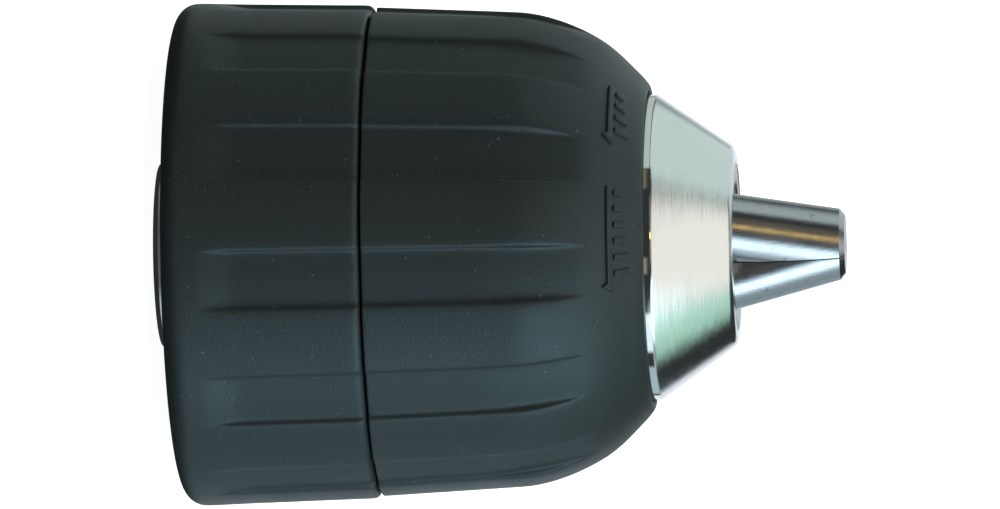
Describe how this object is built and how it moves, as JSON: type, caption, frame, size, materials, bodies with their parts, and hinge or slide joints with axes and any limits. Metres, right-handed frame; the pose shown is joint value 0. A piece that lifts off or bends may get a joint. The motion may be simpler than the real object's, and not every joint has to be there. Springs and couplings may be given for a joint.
{
  "type": "drill chuck",
  "caption": "Keyless drill chuck with a fixed rear sleeve, a turning front sleeve, a conical steel nose and jaws that open and close along a taper.",
  "frame": {"origin": "centre of the hub's rear face, where the spindle's shoulder seats", "axes": "+Z along the chuck's axis from the spindle end to the jaw tips; +X towards the middle of the first jaw"},
  "size_m": [0.0424, 0.0424, 0.0578],
  "materials": {
    "sleeve_plastic": "fine matte moulded grain, glass-filled",
    "cage_plastic": "plain natural nylon",
    "body_steel": "turned and oiled",
    "nose_steel": "bright turned cone with a polished rim",
    "jaw_steel": "hardened and ground",
    "bearing_steel": "polished",
    "nut_steel": "dark heat-treated",
    "washer_steel": "plain"
  },
  "bodies": {
    "chuck_body": {"chuck_body": "body_steel", "nose_piece": "nose_steel", "rear_sleeve": "sleeve_plastic", "rear_sleeve_insert": "body_steel", "front_thrust_washer": "washer_steel", "rear_bearing_race": "bearing_steel"},
    "front_sleeve": {"front_sleeve": "sleeve_plastic", "nut_half_a": "nut_steel", "nut_half_b": "nut_steel", "nut_band": "nut_steel", "front_bearing_race": "bearing_steel"},
    "jaw_1": {"jaw_1": "jaw_steel"},
    "jaw_2": {"jaw_2": "jaw_steel"},
    "jaw_3": {"jaw_3": "jaw_steel"},
    "ball_cage": {"ball_cage": "cage_plastic", "bearing_ball_01": "bearing_steel", "bearing_ball_02": "bearing_steel", "bearing_ball_03": "bearing_steel", "bearing_ball_04": "bearing_steel", "bearing_ball_05": "bearing_steel", "bearing_ball_06": "bearing_steel", "bearing_ball_07": "bearing_steel", "bearing_ball_08": "bearing_steel", "bearing_ball_09": "bearing_steel", "bearing_ball_10": "bearing_steel", "bearing_ball_11": "bearing_steel", "bearing_ball_12": "bearing_steel", "bearing_ball_13": "bearing_steel", "bearing_ball_14": "bearing_steel", "bearing_ball_15": "bearing_steel", "bearing_ball_16": "bearing_steel", "bearing_ball_17": "bearing_steel", "bearing_ball_18": "bearing_steel", "bearing_ball_19": "bearing_steel", "bearing_ball_20": "bearing_steel"}
  },
  "joints": [
    {"name": "front_sleeve_turn", "type": "hinge", "parent": "chuck_body", "child": "front_sleeve", "pos_m": [0, 0, 0.03], "axis": [0, 0, 1], "range_deg": [0, 4380]},
    {"name": "jaw_1_slide", "type": "slide", "parent": "chuck_body", "child": "jaw_1", "axis": [0.2588, 0, -0.9659], "range_m": [0, 0.0183]},
    {"name": "jaw_2_slide", "type": "slide", "parent": "chuck_body", "child": "jaw_2", "axis": [-0.1294, 0.2241, -0.9659], "range_m": [0, 0.0183]},
    {"name": "jaw_3_slide", "type": "slide", "parent": "chuck_body", "child": "jaw_3", "axis": [-0.1294, -0.2241, -0.9659], "range_m": [0, 0.0183]},
    {"name": "ball_cage_turn", "type": "hinge", "parent": "chuck_body", "child": "ball_cage", "pos_m": [0, 0, 0.0218], "axis": [0, 0, 1], "range_deg": [0, 2200]}
  ],
  "couplings": [
    {"joint": "jaw_1_slide", "follows": "front_sleeve_turn", "m_per_rad": 0.00023873},
    {"joint": "jaw_2_slide", "follows": "front_sleeve_turn", "m_per_rad": 0.00023873},
    {"joint": "jaw_3_slide", "follows": "front_sleeve_turn", "m_per_rad": 0.00023873},
    {"joint": "ball_cage_turn", "follows": "front_sleeve_turn", "ratio": 0.5}
  ]
}
